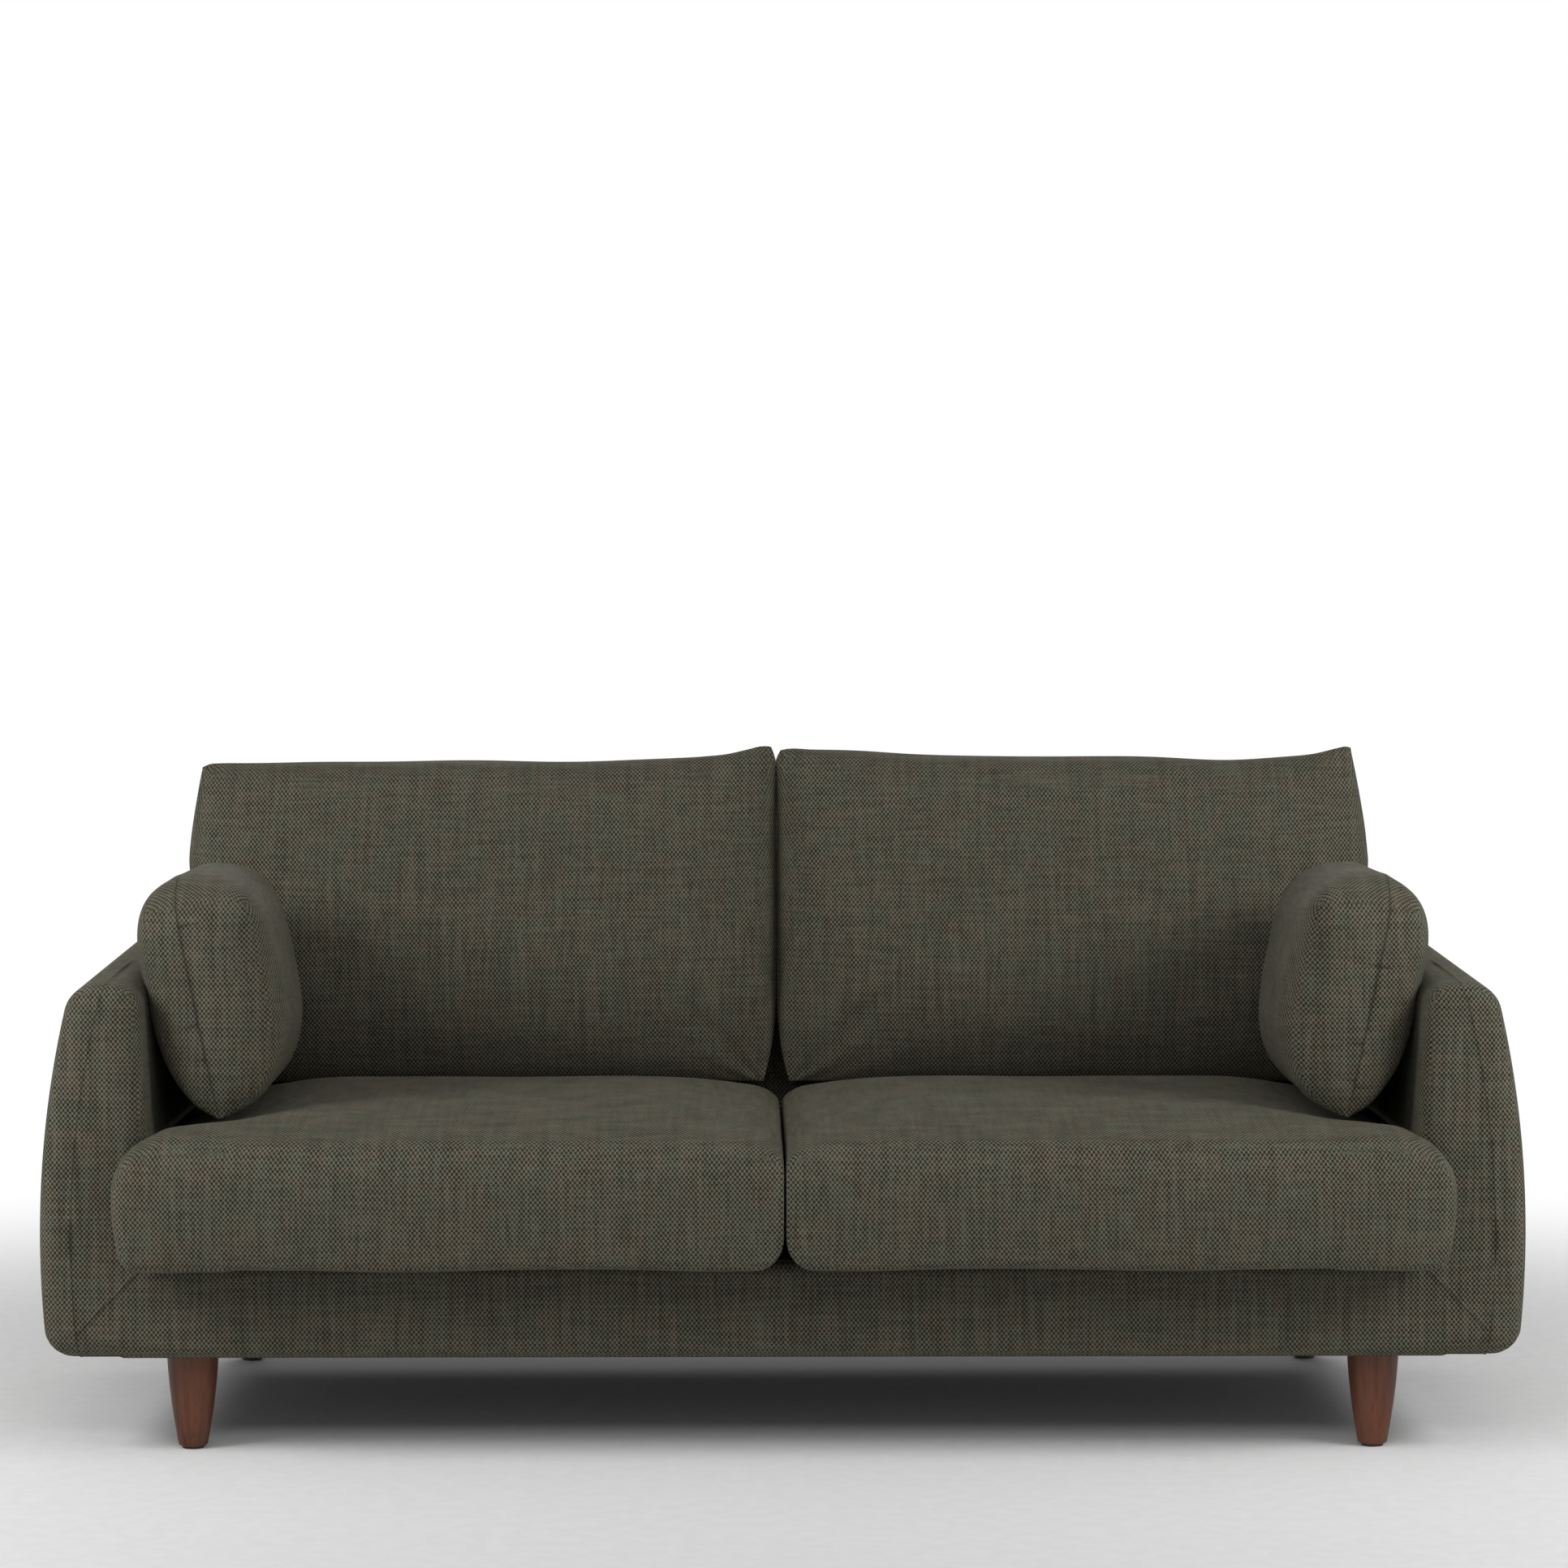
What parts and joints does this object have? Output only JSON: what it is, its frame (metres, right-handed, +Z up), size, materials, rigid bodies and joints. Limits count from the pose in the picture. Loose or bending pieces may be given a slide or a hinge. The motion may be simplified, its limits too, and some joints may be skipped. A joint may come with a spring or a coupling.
{
  "type": "sofa",
  "caption": "Upholstered sofa with loose seat and back cushions, side bolsters, slim sloping arms and turned, tapered wooden legs; the cushions pull out or lift off.",
  "frame": {"origin": "on the floor, under the middle of the sofa's bounding box", "axes": "+X along the sofa's length, to the right as seen from the front; the front faces -Y; +Z up"},
  "size_m": [1.9, 0.8992, 0.8937],
  "materials": {
    "upholstery": "matte",
    "deck_cloth": "matte",
    "dust_cloth": "matte",
    "wadding": "matte",
    "felt": "matte",
    "foam": "matte",
    "fibre_fill": "matte",
    "timber": "matte",
    "hardboard": "matte",
    "walnut": "satin",
    "spring_steel": "satin",
    "zinc_steel": "satin",
    "nylon": "satin",
    "webbing": "matte"
  },
  "bodies": {
    "frame": {"back_top_rail": "timber", "back_webbing": "webbing", "centre_back_post": "timber", "centre_rail": "timber", "corner_blocks": "timber", "deck_cloth": "deck_cloth", "deck_pad": "felt", "dust_cover": "dust_cloth", "front_left_leg": "walnut", "front_rail": "timber", "front_rail_cover": "upholstery", "front_rail_padding": "wadding", "front_right_leg": "walnut", "hanger_bolts": "zinc_steel", "inside_back_cover": "upholstery", "inside_back_padding": "wadding", "left_arm_cover": "upholstery", "left_arm_front_board": "timber", "left_arm_inner_panel": "hardboard", "left_arm_outer_panel": "hardboard", "left_arm_padding": "wadding", "left_arm_rear_board": "timber", "left_arm_side_cover": "upholstery", "left_arm_top_rail": "timber", "left_back_post": "timber", "left_side_rail": "timber", "leg_glides": "nylon", "leg_plates": "zinc_steel", "outside_back_cover": "upholstery", "outside_back_padding": "wadding", "plate_screws": "zinc_steel", "rear_left_leg": "walnut", "rear_rail": "timber", "rear_right_leg": "walnut", "right_arm_cover": "upholstery", "right_arm_front_board": "timber", "right_arm_inner_panel": "hardboard", "right_arm_outer_panel": "hardboard", "right_arm_padding": "wadding", "right_arm_rear_board": "timber", "right_arm_side_cover": "upholstery", "right_arm_top_rail": "timber", "right_back_post": "timber", "right_side_rail": "timber", "seat_springs": "spring_steel", "spring_clips": "nylon"},
    "left_seat": {"left_seat_core": "foam", "left_seat_cover": "upholstery"},
    "right_seat": {"right_seat_core": "foam", "right_seat_cover": "upholstery"},
    "left_back": {"left_back_cover": "upholstery", "left_back_fill": "fibre_fill"},
    "right_back": {"right_back_cover": "upholstery", "right_back_fill": "fibre_fill"},
    "left_bolster": {"left_bolster_cover": "upholstery", "left_bolster_fill": "fibre_fill"},
    "right_bolster": {"right_bolster_cover": "upholstery", "right_bolster_fill": "fibre_fill"}
  },
  "joints": [
    {"name": "left_seat_pull", "type": "slide", "parent": "frame", "child": "left_seat", "axis": [0, -1, 0], "range_m": [0, 0.7]},
    {"name": "right_seat_pull", "type": "slide", "parent": "frame", "child": "right_seat", "axis": [0, -1, 0], "range_m": [0, 0.7]},
    {"name": "left_back_lift", "type": "slide", "parent": "frame", "child": "left_back", "axis": [0, 0.1908, 0.9816], "range_m": [0, 0.42]},
    {"name": "right_back_lift", "type": "slide", "parent": "frame", "child": "right_back", "axis": [0, 0.1908, 0.9816], "range_m": [0, 0.42]},
    {"name": "left_bolster_lift", "type": "slide", "parent": "frame", "child": "left_bolster", "axis": [0, 0, 1], "range_m": [0, 0.36]},
    {"name": "right_bolster_lift", "type": "slide", "parent": "frame", "child": "right_bolster", "axis": [0, 0, 1], "range_m": [0, 0.36]}
  ]
}
